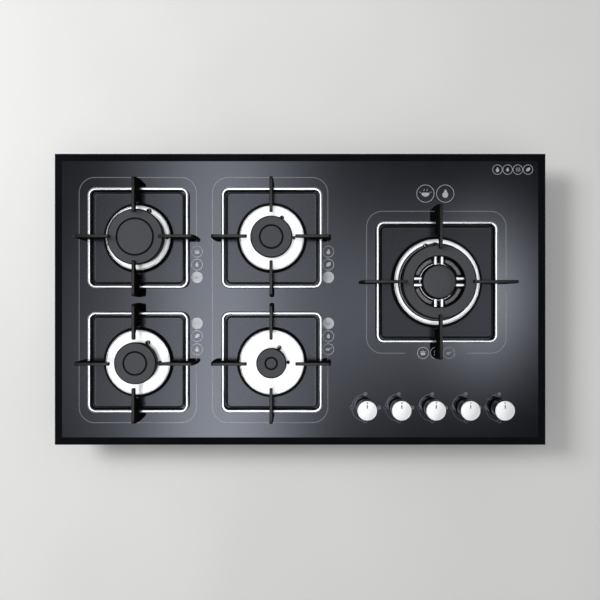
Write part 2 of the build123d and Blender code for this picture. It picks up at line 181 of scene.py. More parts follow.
# grained takes colours, roughness, size of the grain and depth of its relief
materials = dict(
    # black tempered glass, fire polished: a dark mirror with faint wiping haze some centimetres long
    glass=grained("black_tempered_glass", ("#07080a", "#0c0e12"), (0.02, 0.055), 60, 0, (1, 0.35, 1), 3,
                  IOR=1.52, **coolShine),
    # ceramic ink, fired under the gloss: dim lines, pale signs, and pictures a little darker than their disc
    line=grained("fired_line_ink", ("#54575c", "#62656a"), (0.1, 0.16), 0.8),
    sign=grained("fired_sign_ink", ("#a0a4aa", "#b2b6bb"), (0.16, 0.24), 0.8),
    faded=grained("fired_grey_ink", ("#7f838a", "#8f9399"), (0.16, 0.24), 0.8),
    # paint in the engraved marks of the knobs: dull near-black
    mark=grained("engraving_paint", ("#2a2b2e", "#3b3c3f"), (0.45, 0.6), 0.5),
    # stainless steel bar, ground and buffed: a bright, slightly cool band with soft edges
    bar=grained("buffed_stainless_steel", ("#cfd2d6", "#dfe2e6"), (0.24, 0.32), 0.6, detail=3, Metallic=1.0),
    # enamelled cast iron: near black, with the sand-cast skin of about 1 mm showing through
    iron=grained("enamelled_cast_iron", ("#040506", "#090a0b"), (0.32, 0.46), 0.9, 0.1, detail=4, IOR=1.4),
    # painted shade: the fingers' flanks are a darker, matte copy of the iron, so they stay black at a grazing
    # look
    ironFlankShade=grained("cast_iron_painted_flank_shade", ("#020202", "#050505"), (0.8, 0.92), 0.9, 0.1, detail=4, IOR=1.2),
    # vitreous enamel on pressed steel: satin black-grey, with orange peel some mm across
    tray=grained("vitreous_enamel", ("#16171a", "#1b1c1f"), (0.18, 0.24), 3.5, 0.006, IOR=1.43, **coolShine),
    # painted shade: the wok burner's tray is the same enamel, darker and with less shine than the others
    shadedWokTray=grained("vitreous_enamel_painted_shade", ("#121416", "#191b1d"), (0.22, 0.28), 3.5, 0.006, IOR=1.33,
                    **coolShine),
    # matte enamel of the burner caps: slate grey with fine stipple
    cap=grained("matte_cap_enamel", ("#37393d", "#44474b"), (0.5, 0.62), 0.7, 0.05, detail=3, IOR=1.42),
    # near-black matte enamel: the electrode bushes' and collars' own black, and painted shade where shade and
    # shadow fall, so that collars, grooves, tray rims and cap edges look like dark lines
    blackAndShade=grained("black_enamel_painted_shade", ("#020203", "#060607"), (0.5, 0.66), 1.6, 0.02, IOR=1.25),
    # die-cast aluminium, greyed by heat: satin and uneven over some mm
    head=grained("cast_aluminium", ("#4d4c4c", "#6b6b6e"), (0.36, 0.5), 5.0, 0.04, detail=4, Metallic=1.0),
    # milled faces of the casting: bright, with marks along the cut
    bridge=grained("milled_aluminium", ("#dbdee2", "#eff2f6"), (0.34, 0.44), 0.6, 0, (1, 0.2, 1),
                   Metallic=1.0),
    # polished aluminium of the cups, spun: white where it faces up, with faint rings
    dish=spun("spun_burner_cup", ("#f1f4f7", "#fafdff"), (0.38, 0.48), 1.2, 0.003, metallic=0.65),
    # diamond-turned aluminium of the knobs: white, with the faint wedge-shaped sheen of a turned face
    knob=spun("turned_aluminium", ("#f6f9fa", "#fcfeff"), (0.46, 0.56), 0.7, 0.004, 0.3, 0.45),
    # polished and dark-plated side of the knobs: mirror-like, with faint turning marks
    side=grained("black_chrome_plate", ("#77787a", "#8d8e90"), (0.07, 0.15), 0.5, 0, (1, 1, 4), Metallic=1.0),
    # glazed alumina: off-white china with a soft shine
    ceramic=grained("glazed_alumina", ("#cdc8bc", "#e2dfd7"), (0.2, 0.3), 1.5, IOR=1.6),
    # heat-resistant steel, burnt dark by the flame
    burnt=grained("heat_stained_steel", ("#1d1b1a", "#3a3633"), (0.35, 0.5), 2.5, Metallic=1.0),
    # folded galvanised sheet: pale grey zinc crystals some mm across
    sheet=spangled("galvanised_steel_sheet", ("#a3a7aa", "#b9bdc0"), (0.3, 0.46), 7, 0.85),
    # bright zinc plate on bent and turned steel: smooth light grey
    zinc=grained("zinc_plated_steel", ("#a4a7aa", "#c6c9cb"), (0.22, 0.4), 6.0, Metallic=1.0),
    # brass, machined: yellow with fine tool marks
    brass=grained("machined_brass", ("#ac8741", "#cfab5e"), (0.2, 0.36), 4.0, Metallic=1.0),
    # die-cast tap bodies: satin light grey
    cast=grained("die_cast_aluminium", ("#8d8d8f", "#a5a5a8"), (0.34, 0.5), 2.0, 0.03, Metallic=1.0),
    # moulded nylon, with the fine grit of an eroded mould
    black=grained("moulded_black_nylon", ("#17181a", "#232426"), (0.5, 0.62), 0.8, 0.03, detail=3),
    white=grained("moulded_white_nylon", ("#c9c9c4", "#d8d8d3"), (0.5, 0.62), 0.8, 0.03, detail=3),
    # closed-cell foam strip: dull black with cells about 1 mm across
    foam=foamed("closed_cell_foam", ("#161617", "#2b2b2c"), (0.82, 0.95), 1.2, 0.2),
    # plain painted studio floor: even, matte and pale
    floor=grained("studio_floor_paint", ("#dededd", "#e3e3e2"), (0.85, 0.95), 400),
)
print("materials made:", len(materials))


def put(name, data, place):
    made = bpy.data.objects.new(name, data)
    made.location = place
    bpy.context.collection.objects.link(made)
    return made


def piece(name, shape, finish, stands=None, at=(0, 0), crease=35, body="hob"):
    # shape is vertices in mm about the place it stands at, and faces; stands is the CAD node it replaces
    verts, faces = shape
    mesh = bpy.data.meshes.new(name)
    mesh.from_pydata([Vector(v) * mm for v in verts], [], faces)
    shaping = bmesh.new()
    shaping.from_mesh(mesh)
    bmesh.ops.remove_doubles(shaping, verts=shaping.verts, dist=1e-7)
    bmesh.ops.recalc_face_normals(shaping, faces=shaping.faces)
    for face in shaping.faces:
        face.smooth = True
    for edge in shaping.edges:  # edges that turn less than the crease are shaded as one curve
        edge.smooth = len(edge.link_faces) == 2 and edge.calc_face_angle(0) < radians(crease)
    shaping.to_mesh(mesh)
    shaping.free()
    mesh.materials.append(materials[finish])
    made = put(name, mesh, Vector((*at, 0)) * mm)
    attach(made, body)
    if stands:
        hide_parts(stands)
    return made


def soften(made, width, steps=3, angle=40):
    edges = made.modifiers.new("softened edges", "BEVEL")
    edges.width, edges.segments = width * mm, steps
    edges.limit_method, edges.angle_limit = "ANGLE", radians(angle)
    return made


def paint(made, finish, chosen):
    # gives a second finish to the faces that are chosen by their middle, in mm, and their normal
    made.data.materials.append(materials[finish])
    last = len(made.data.materials) - 1
    for face in made.data.polygons:
        if chosen(face.center / mm, face.normal):
            face.material_index = last
    return made


def radiusOf(point):
    return hypot(point.x, point.y)


def rounded(points, steps=5, closed=True):
    # points are (x, y) or (x, y, radius); each corner with a radius becomes an arc
    path = []
    count = len(points)
    edgeShare = 0.49  # no arc takes more of an edge than this
    for i, point in enumerate(points):
        radius = point[2] if len(point) > 2 else 0
        here = Vector(point[:2])
        if not radius or (not closed and i in (0, count - 1)):
            path.append(tuple(here))
            continue
        before, after = Vector(points[i - 1][:2]) - here, Vector(points[(i + 1) % count][:2]) - here
        turn = before.angle(after)
        reach = min(radius / tan(turn / 2), before.length * edgeShare, after.length * edgeShare)
        radius = reach * tan(turn / 2)
        middle = here + (before.normalized() + after.normalized()).normalized() * (radius / sin(turn / 2))
        first = here + before.normalized() * reach - middle
        last = here + after.normalized() * reach - middle
        sweep = first.angle_signed(last)
        for k in range(steps + 1):
            angle = -sweep * k / steps
            path.append((middle.x + first.x * cos(angle) - first.y * sin(angle),
                         middle.y + first.x * sin(angle) + first.y * cos(angle)))
    return path


def between(rows, closed=True):
    # skins rows of equally many points; closed joins the last row to the first
    around = len(rows[0])
    faces = []
    for i in range(len(rows) if closed else len(rows) - 1):
        a, b = i * around, (i + 1) % len(rows) * around
        faces += [(a + k, a + (k + 1) % around, b + (k + 1) % around, b + k) for k in range(around)]
    return [v for row in rows for v in row], faces


def circleRow(r, z, around):
    return [(r * cos(2 * pi * k / around), r * sin(2 * pi * k / around), z) for k in range(around)]


def lathe(profile, around):
    # a ring whose closed section is (radius, height) points
    return between([circleRow(r, z, around) for r, z in profile])


def solid(profile, around):
    # a turned solid that flat discs close at its first and last row
    verts, faces = between([circleRow(r, z, around) for r, z in profile], False)
    last = (len(profile) - 1) * around
    return verts, faces + [tuple(reversed(range(around))), tuple(range(last, last + around))]


def prism(outline, low, high):
    count = len(outline)
    verts = [(x, y, low) for x, y in outline] + [(x, y, high) for x, y in outline]
    faces = [tuple(reversed(range(count))), tuple(range(count, 2 * count))]
    faces += [(i, (i + 1) % count, count + (i + 1) % count, count + i) for i in range(count)]
    return verts, faces


def block(size, centre, low):
    x, y = size[0] / 2, size[1] / 2
    corners = [(-x, -y), (x, -y), (x, y), (-x, y)]
    return prism([(centre[0] + a, centre[1] + b) for a, b in corners], low, low + size[2])


def turned(shape, degrees, move=(0, 0, 0)):
    c, s = cos(radians(degrees)), sin(radians(degrees))
    verts = [(x * c - y * s + move[0], x * s + y * c + move[1], z + move[2]) for x, y, z in shape[0]]
    return verts, shape[1]


def laid(shape, move):
    # lays a shape down, so that its top points to the rear
    return [(x + move[0], z + move[1], -y + move[2]) for x, y, z in shape[0]], shape[1]


def joined(*shapes):
    verts, faces = [], []
    for v, f in shapes:
        faces += [tuple(i + len(verts) for i in face) for face in f]
        verts += v
    return verts, faces


# pan supports: a square ring of bar, and four fingers over it
support = dict(bar=6.0, barEdge=2.5, corner=11.0, thickness=5.2, soft=0.9, roundTop=5.0, nose=2.5, lean=0.4,
               footRake=2.5, armDepth=8.5, webLift=3.2, webClear=2.5, clear=2.2)


def barRing(half):
    # the bar's section has a flat top and rounded edges
    bar, edge = support["bar"] / 2, support["barEdge"]
    middle = levels["bar"] - bar
    section = rounded([(bar, -bar, edge), (bar, bar, edge), (-bar, bar, edge), (-bar, -bar, edge)], 7)
    corners = [(half, -half), (half, half), (-half, half), (-half, -half)]
    path = rounded([(x, y, support["corner"]) for x, y in corners], 10)
    rows = []
    for i, here in enumerate(path):
        before, after = Vector(here) - Vector(path[i - 1]), Vector(path[(i + 1) % len(path)]) - Vector(here)
        way = (before.normalized() + after.normalized()).normalized()
        widen = 1 / before.normalized().dot(way)
        rows.append([(here[0] + way.y * across * widen, here[1] - way.x * across * widen, middle + high)
                     for across, high in section])
    return between(rows)


def fingerOutline(name, b):
    # from the side: the arm reaches in over the burner, and the leg straddles the bar and stands on the glass
    top, foot, rake = levels["finger"], levels["glass"], support["footRake"]
    end = boxOf(f"{name}_support_fingers")[1].x - b["at"][0] - rake
    barIn, barOut = b["frame"] - support["bar"], b["frame"]
    under, crotch = levels["cap"] + support["clear"], foot + support["webLift"]
    web = b["dish"] + tray["play"] + tray["collarWidth"] + support["webClear"]
    return rounded([
        (barOut, levels["bar"], 1.0), (barOut, foot), (end + rake, foot, 1.2),
        (end + support["lean"], top, support["roundTop"]), (b["tip"], top, support["nose"]),
        (b["tip"], top - support["armDepth"], 2.0), (b["dish"] - support["webClear"], under, 8),
        (web, under - support["armDepth"], 4), (web, crotch, 2.0), (barIn, crotch, 0.8),
        (barIn, levels["bar"], 1.0)])


def makeSupports():
    half, flank = support["thickness"] / 2, 0.1
    for name, b in burners.items():
        body = f"{name}_support"
        piece(f"{name}_support_ring", barRing(b["frame"] - support["bar"] / 2), "bar",
              f"{name}_support_frame", b["at"], crease=50, body=body)
        verts, faces = prism(fingerOutline(name, b), -half, half)
        finger = [(x, y, z) for x, z, y in verts], faces
        arms = joined(*[turned(finger, turn) for turn in (0, 90, 180, 270)])
        made = piece(f"{name}_support_arms", arms, "iron", f"{name}_support_fingers", b["at"], body=body)
        # painted shade: the upright flanks of the fingers are painted in the darker copy of the iron
        paint(made, "ironFlankShade", lambda place, normal: abs(normal.z) < flank)
        soften(made, support["soft"]).modifiers[0].material = 0  # the softened edges keep the first finish
    print("pan supports made")


# drip trays: a pressed square with a beaded rim, and a collar round the burner's cup, near black as its own
# enamel and as painted shade; beadIn, beadFoot and floorFrom count in from the tray's edge
tray = dict(gap=1.2, sheet=1.5, corner=8.0, bead=1.3, beadIn=1.7, beadFoot=3.6, floorFrom=7.0,
            cornerShare=0.8, collarHeight=9.0, collarWidth=3.5, collarFlange=1.6, lip=2.4, lipRound=1.1,
            play=0.3, overlap=0.6, blend=4.0, shadeRim=1.6, around=192)


def squareRow(half, corner, z, around):
    # points of a rounded square at equal angles, so that they pair with a circle's
    row = []
    for k in range(around):
        dx, dy = cos(2 * pi * k / around), sin(2 * pi * k / around)
        inner = half - corner
        reach = half / max(abs(dx), abs(dy))
        if min(abs(dx), abs(dy)) * reach > inner:
            b = (abs(dx) + abs(dy)) * inner
            reach = b + (b * b - (2 * inner * inner - corner * corner)) ** 0.5
        row.append((dx * reach, dy * reach, z))
    return row


def dripTray(name, b):
    half = b["frame"] - support["bar"] - tray["gap"]
    hole = b["dish"] + tray["play"]
    foot = hole + tray["collarWidth"]
    low, flat, around = levels["glass"], levels["glass"] + tray["sheet"], tray["around"]
    bead = flat + tray["bead"]
    rim = rounded([(0, low), (0, bead, 0.8), (tray["beadIn"], bead, 0.8), (tray["beadFoot"], flat, 2.0),
                   (tray["floorFrom"], flat)], 4, False)
    rows = [squareRow(half - inset, tray["corner"] - inset * tray["cornerShare"], z, around)
            for inset, z in rim]
    inner, edge = circleRow(foot + tray["blend"], flat, around), foot - tray["overlap"]
    rows.append([((x + u) / 2, (y + v) / 2, flat) for (x, y, _), (u, v, _) in zip(rows[-1], inner)])
    rows += [inner, circleRow(edge, flat, around), circleRow(edge, low, around)]
    # the wok's tray is painted darker than the others, as painted shade
    made = piece(f"{name}_drip_tray", between(rows), "shadedWokTray" if name == "wok" else "tray",
                 "drip_trays", b["at"], crease=40)
    # painted shade: the outer band of the rim is painted near black, as the shadow in the gap under the bar
    paint(made, "blackAndShade", lambda place, normal: max(abs(place.x), abs(place.y)) > half - tray["shadeRim"])
    top, out, soft = low + tray["collarHeight"], foot + tray["collarFlange"], tray["lipRound"]
    collar = rounded([(out, flat - 0.5), (out, flat + 0.3, 0.3), (foot - 0.1, flat + 0.5, 1.2),
                      (hole + tray["lip"], top, soft), (hole, top, soft), (hole, low)])
    # the collar gets the near-black finish: its own black enamel, with painted shade on its steep walls
    piece(f"{name}_tray_collar", lathe(collar, 144), "blackAndShade", "drip_trays", b["at"], 30)


# burner cup: a shallow polished pan with a rolled lip, on the post that stands on its strap; inside is how
# far its floor reaches in under the cap
cup = dict(lip=0.9, wall=2.0, floor=0.7, foot=0.8, flare=3.0, inside=1.2, step=1.0, postNeck=0.92,
           postHole=0.6)


def burnerCup(name, b):
    r, low, high, strap = b["dish"], levels["glass"], levels["dish"], levels["strap"]
    post, hole = b["post"] * cup["postNeck"], b["post"] * cup["postHole"]
    floor, inside = high - cup["floor"], b["cap"] - cup["inside"]
    profile = rounded([
        (hole, strap), (post, strap, 1), (post, low, 1), (r - cup["foot"], low, 0.8),
        (r, low + cup["flare"], 1.0), (r, high, 0.5), (r - cup["lip"], high, 0.5),
        (r - cup["wall"], floor, 1.4), (inside, floor, 0.8), (inside - cup["step"], high, 0.4),
        (hole, high)], 5, False)
    piece(f"{name}_burner_cup", solid(profile, 128), "dish", "burner_cups", b["at"], crease=30)


# flame spreader: a cast drum with upright gas ports round its rim; flange is its foot, as steps out and up
drum = dict(inset=2.4, wall=9, portDepth=2.6, portShare=0.42, portLow=24.4, portSlope=0.6,
            flange=[(1.4, 0.0), (1.4, 1.2), (0.0, 2.6)])


def slottedDrum(radius, inner, ports, low, high, flange):
    share, ledge, depth = drum["portShare"], drum["portLow"], drum["portDepth"]
    steps = ((0, False), ((1 - share) / 2, False), (1 - share, True), (1 - share / 2, True))
    angles = [(2 * pi * (i + step) / ports, port) for i in range(ports) for step, port in steps]
    profile = [(inner, low, 0), *[(radius + out, low + up, 0) for out, up in flange],
               (radius, ledge - drum["portSlope"], 0), (radius, ledge, depth), (radius, high, depth),
               (inner, high, 0)]
    return between([[((r - port * cut) * cos(a), (r - port * cut) * sin(a), z) for a, port in angles]
                    for r, z, cut in profile])


def flameSpreader(name, b):
    radius = b["cap"] - drum["inset"]
    shape = slottedDrum(radius, radius - drum["wall"], b["ports"], levels["dish"], levels["spreader"],
                        drum["flange"])
    piece(f"{name}_flame_spreader", shape, "head", "flame_spreaders", b["at"], crease=25)


# burner cap: an enamelled plate with a groove round its middle disc
cap = dict(edge=2.0, shadeEdge=1.7, groove=3.2, grooveDepth=2.0, grooveSlope=0.4, raised=0.4, discEdge=1.2,
           skirt=1.2, lap=3.0)


def burnerCap(name, b):
    r, g, low, high = b["cap"], b["disc"], levels["spreader"] - cap["skirt"], levels["cap"] - cap["raised"]
    outside, deep = g + cap["groove"], high - cap["grooveDepth"]
    profile = rounded([
        (r - cap["lap"], low), (r - 0.9, low, 0.4), (r, low + 1.2, 0.8), (r, high - 1.0, 0.6),
        (r - cap["edge"], high, 0.6), (outside, high, 0.3), (outside - cap["grooveSlope"], deep, 0.3),
        (g + cap["grooveSlope"], deep, 0.3), (g, high + cap["raised"] - 0.1, 0.35),
        (g - cap["discEdge"], levels["cap"] - 0.03), (g * 0.5, levels["cap"])], 4, False)
    shape = solid(profile, 128)
    made = piece(f"{name}_burner_cap", shape, "cap", "burner_caps", b["at"], crease=30)
    # painted shade: the cap's outer edge and its groove are painted near black
    paint(made, "blackAndShade", lambda place, normal: radiusOf(place) > r - cap["shadeEdge"]
          or g + 0.05 < radiusOf(place) < outside - 0.05)


# wok burner: a ring head and a centre head on one base, with four bridges between them; In and Out are radii
wok = dict(ringIn=43.5, ringOut=63.8, ringLap=2.0, centre=30.0, centreIn=16, centrePorts=16, centreLift=1.5,
           floor=21.0, baseIn=28, baseOut=45.5, sunk=0.2, bridge=17.4, bridgeGroove=5.0, bridgeTop=29.3,
           bridgeRound=1.9, bridgeLap=0.4, lobeIn=34.2, lobeOut=41.8, lobeTop=25.6, lobeArc=56.0,
           lobeRound=1.0, beadIn=30.6, beadOut=32.0, beadHeight=2.0, ringEdge=2.0, ringShade=1.6, boreShade=1.2,
           domeEdge=3.2, domeShade=1.8,
           flange=[(6.5, -1.2), (6.3, -0.4), (4.7, 1.4), (2.9, 1.6), (1.2, 3.0), (0.0, 5.0)])


def wokHead(b):
    low, high, floor = levels["dish"], levels["spreader"], wok["floor"]
    start, at, stands = floor - wok["sunk"], b["at"], "flame_spreaders"
    radius, centre = wok["ringOut"] - drum["inset"], wok["centre"] - drum["inset"]
    outer = slottedDrum(radius, wok["ringIn"] + wok["ringLap"], b["ports"], low, high, wok["flange"])
    # painted shade: the outer head starts near black
    made = piece("wok_outer_head", outer, "blackAndShade", stands, at, 25)
    # painted shade: the foot and lower wall stay near black; the cast finish shows as one bright line on the
    # broad foot, and on the wall above the ports' lower end
    lineOut, lineIn = [radius + out for out, up in wok["flange"][2:4]]
    paint(made, "head", lambda place, normal: lineIn < radiusOf(place) < lineOut and place.z > low)
    paint(made, "head", lambda place, normal: place.z > drum["portLow"])
    inner = slottedDrum(centre, wok["centreIn"], wok["centrePorts"], low + wok["centreLift"], high,
                        drum["flange"])
    piece("wok_inner_head", inner, "head", stands, at, crease=25)
    near, far = wok["baseIn"], wok["baseOut"]
    base = rounded([(near, low + 0.2), (far, low + 0.2), (far, floor, 1), (near, floor)], 3, False)
    # painted shade: the base between the heads is near black, as shade in the hollow between them
    piece("wok_head_base", solid(base, 96), "blackAndShade", stands, at, 30)
    near, far, top = wok["beadIn"], wok["beadOut"], floor + wok["beadHeight"]
    bead = rounded([(far, start), (far, top, 0.4), (near, top, 0.4), (near, start)], 3)
    piece("wok_head_bead", lathe(bead, 96), "bridge", stands, at)
    # a raised rim runs round each quarter between the bridges
    half, steps = radians(wok["lobeArc"] / 2), 10
    angles = [half * k / steps for k in range(-steps, steps + 1)]
    outline = [(wok["lobeOut"] * cos(a), wok["lobeOut"] * sin(a)) for a in angles]
    outline += [(wok["lobeIn"] * cos(a), wok["lobeIn"] * sin(a)) for a in reversed(angles)]
    rims = [turned(prism(outline, start, wok["lobeTop"]), turn) for turn in (45, 135, 225, 315)]
    soften(piece("wok_head_lobes", joined(*rims), "head", stands, at), wok["lobeRound"], 2, 50)
    # four bridges, each two bright rounded blocks with a gap between them
    side = (wok["bridge"] - wok["bridgeGroove"]) / 2
    outside, inside = wok["ringIn"] + wok["ringLap"], centre + wok["bridgeLap"]
    length, middle = outside - inside, (outside + inside) / 2
    size, off = (length, side, wok["bridgeTop"] - floor), (wok["bridgeGroove"] + side) / 2
    bridges = [turned(block(size, (middle, way * off), start), turn)
               for turn in (0, 90, 180, 270) for way in (-1, 1)]
    made = piece("wok_head_bridges", joined(*bridges), "bridge", stands, at)
    soften(made, wok["bridgeRound"], 5)


def wokCaps(b):
    low, high = levels["spreader"] - cap["skirt"], levels["cap"]
    out, bore, r = wok["ringOut"], wok["ringIn"], wok["centre"]
    ring = rounded([
        (bore + 1, low, 0.4), (out - 1.2, low, 0.4), (out, low + 1.2, 0.8), (out, high - 1.2, 0.6),
        (out - wok["ringEdge"], high, 0.7), (bore + 1.6, high, 0.8), (bore, high - 1.2, 0.6),
        (bore, low + 0.8, 0.4)], 4)
    made = piece("wok_ring_cap", lathe(ring, 144), "cap", "burner_caps", b["at"], crease=30)
    # painted shade: the ring cap's outer edge and the edge of its bore are painted near black
    paint(made, "blackAndShade", lambda place, normal: radiusOf(place) > out - wok["ringShade"]
          or radiusOf(place) < bore + wok["boreShade"])
    edge = wok["domeEdge"]
    dome = rounded([(r - 5, low), (r - 0.8, low, 0.4), (r, low + 1.0, 0.6), (r, high - edge, 1.0),
                    (r - 3.2, high - edge * 0.45, 4), (r - 12, high - 0.2, 20), (2, high)], 9, False)
    made = piece("wok_centre_cap", solid(dome, 128), "cap", "burner_caps", b["at"], crease=30)
    # painted shade: the centre cap's edge is painted near black
    paint(made, "blackAndShade", lambda place, normal: radiusOf(place) > r - wok["domeShade"])


# spark electrode and flame sensor beside each head; bush, sleeve, rod and probe are radii, and heights count
# from a start sunk in the cup, but height and probeHeight from its lip
spark = dict(sunk=1.5, bush=3.9, bushHeight=4.0, sleeve=2.6, sleeveHeight=6.0, rod=1.5, collar=0.5,
             tipFrom=5.0, tip=2.2, reach=2.6, height=10.5, probe=1.6, probeFoot=1.2, footHeight=3.6,
             probeHeight=12.6)


def besideHead(b, angle):
    reach, angle = b["cap"] + spark["reach"], radians(angle)
    return b["at"][0] + reach * cos(angle), b["at"][1] + reach * sin(angle)


def ignition(name, b):
    low = levels["dish"] - spark["sunk"]
    at = besideHead(b, b["electrode"])
    top, rod, sleeve = levels["dish"] + spark["height"], spark["rod"], spark["sleeve"]
    bushTop = low + spark["bushHeight"]
    bush = rounded([(sleeve, low), (spark["bush"], low), (spark["bush"], bushTop, 0.5), (sleeve, bushTop)], 3)
    piece(f"{name}_electrode_bush", lathe(bush, 32), "blackAndShade", "electrodes", at)
    end = low + spark["sleeveHeight"]
    china = rounded([(rod, low), (sleeve, low), (sleeve, end, 0.4), (rod, end + 0.5)], 3, False)
    piece(f"{name}_electrode_sleeve", solid(china, 24), "ceramic", "electrodes", at)
    wide, start = rod + spark["collar"], low + spark["tipFrom"]
    tip = rounded([(0.4, start), (wide, start), (wide, top - 0.5, 0.5), (0.8, top, 0.2),
                   (0.7, top + spark["tip"], 0.3), (0.2, top + spark["tip"] + 0.4)], 3, False)
    piece(f"{name}_electrode", solid(tip, 24), "burnt", "electrodes", at)
    at = besideHead(b, b["sensor"])
    top, probe, foot = levels["dish"] + spark["probeHeight"], spark["probe"], low + spark["footHeight"]
    wide = probe + spark["probeFoot"]
    shape = rounded([(wide, low), (wide, foot, 0.4), (probe, foot + 0.6, 0.2), (probe, top - 1.5, 0.4),
                     (0.5, top, 0.4), (0.1, top + 0.1)], 3, False)
    piece(f"{name}_flame_sensor", solid(shape, 24), "burnt", "flame_sensors", at)


def makeBurners():
    for name, b in burners.items():
        dripTray(name, b)
        burnerCup(name, b)
        ignition(name, b)
        if name == "wok":
            wokHead(b)
            wokCaps(b)
        else:
            flameSpreader(name, b)
            burnerCap(name, b)
    print("burners made")


# knobs: a black skirt, a dark polished side and a turned white top with a line and a dot; slim is how much
# smaller the skirt is, and rim how far in the top starts
knob = dict(radius=16.7, skirt=2.4, slim=0.3, bore=9, sideBore=12, bevel=0.7, rim=1.5, sink=0.15,
            lineWide=1.8, lineNear=3.8, lineFar=9.8, dotAt=12.9, dotWide=2.4, markSunk=0.1, markHigh=0.12)
knobPlaces = [middleOf(f"knob_{i}") for i in range(1, 6)]


def makeKnobs():
    low, high, r = levels["knobLow"], levels["knobHigh"], knob["radius"]
    face, shoulder = high - knob["sink"], low + knob["skirt"]
    slim, bevel, rim = r - knob["slim"], knob["bevel"], r - knob["rim"]
    skirt = rounded([(knob["bore"], low), (slim, low, 0.5), (slim, shoulder, 0.4), (r - 1.0, shoulder + 0.2)],
                    3, False)
    side = rounded([(knob["sideBore"], shoulder), (r - 0.7, shoulder, 0.4), (r, shoulder + 1.2, 0.6),
                    (r, high - bevel, 0.3), (r - bevel, high, 0.3), (r - 1.3, high, 0.2),
                    (rim, face - 0.03, 0.1), (r - 3.4, face - 0.2)], 4, False)
    top = rounded([(r - 3.2, face - 1.0), (rim, face - 0.6), (rim, face, 0.15), (1.0, face)], 3, False)
    near, length = knob["lineNear"], knob["lineFar"] - knob["lineNear"]
    sunk, proud, dot = knob["markSunk"], knob["markHigh"], knob["dotWide"] / 2
    line = block((knob["lineWide"], length, sunk + proud), (0, near + length / 2), face - sunk)
    dot = turned(solid([(dot, -sunk), (dot, proud)], 20), 0, (0, knob["dotAt"], face))
    for i, at in enumerate(knobPlaces, 1):
        body, stands = f"control_{i}", f"knob_{i}"
        piece(f"knob_skirt_{i}", solid(skirt, 96), "black", stands, at, body=body)
        made = piece(f"knob_side_{i}", solid(side, 128), "side", stands, at, crease=30, body=body)
        paint(made, "knob", lambda place, normal: place.z > high - bevel * 0.9)  # the bevel is turned too
        piece(f"knob_top_{i}", solid(top, 128), "knob", stands, at, crease=30, body=body)
        piece(f"knob_mark_{i}", joined(line, dot), "mark", None, at, body=body)
    print("knobs made")


# printed marks: thin outlines round the burners, small pictures, and a dial round each knob; fromPhoto turns
# places read from the photo, in pixels, to mm from the plate's middle
ink = dict(line=1.6, thin=0.8, dialLine=1.0, height=0.12, sunk=0.05, overDisc=0.04, corner=27.0, tick=1.2,
           pictureCorner=0.1, dial=23.9, dialDot=3.3, dialGap=8, dialFlame=3.6)
photo = dict(middleX=300.1, middleY=299.3, pixelsPerMm=0.5715)


def fromPhoto(px, py):
    return (px - photo["middleX"]) / photo["pixelsPerMm"], (photo["middleY"] - py) / photo["pixelsPerMm"]


def strip(path, width, closed=False, lift=0.0):
    # flat line of ink along a path
    count = len(path)
    left, right = [], []
    for i, point in enumerate(path):
        here = Vector(point)
        before = Vector(path[i - 1]) if closed or i else here
        after = Vector(path[(i + 1) % count]) if closed or i < count - 1 else here
        way = ((here - before).normalized() + (after - here).normalized()).normalized()
        side = Vector((-way.y, way.x)) * (width / 2)
        left.append(here + side)
        right.append(here - side)
    verts = [(p.x, p.y, z) for z in (levels["glass"] - ink["sunk"], levels["glass"] + ink["height"] + lift)
             for p in left + right]
    n = 2 * count
    faces = []
    for i in range(count if closed else count - 1):
        j = (i + 1) % count
        faces += [(n + i, n + j, n + count + j, n + count + i), (i, j, n + j, n + i),
                  (count + i, n + count + i, n + count + j, count + j), (i, count + i, count + j, j)]
    if not closed:
        faces += [(0, n, n + count, count), (count - 1, 2 * count - 1, n + 2 * count - 1, n + count - 1)]
    return verts, faces


def patch(outline, lift=0.0):
    return prism(outline, levels["glass"] - ink["sunk"], levels["glass"] + ink["height"] + lift)


def arcPoints(x, y, r, count=40, start=0, sweep=360):
    # points on an arc, in degrees; a full circle leaves out the last, which would be the first again
    angles = [radians(start + sweep * k / count) for k in range(count if sweep == 360 else count + 1)]
    return [(x + r * cos(angle), y + r * sin(angle)) for angle in angles]


def circleLine(x, y, r, width, count=40):
    return strip(arcPoints(x, y, r - width / 2, count), width, True)


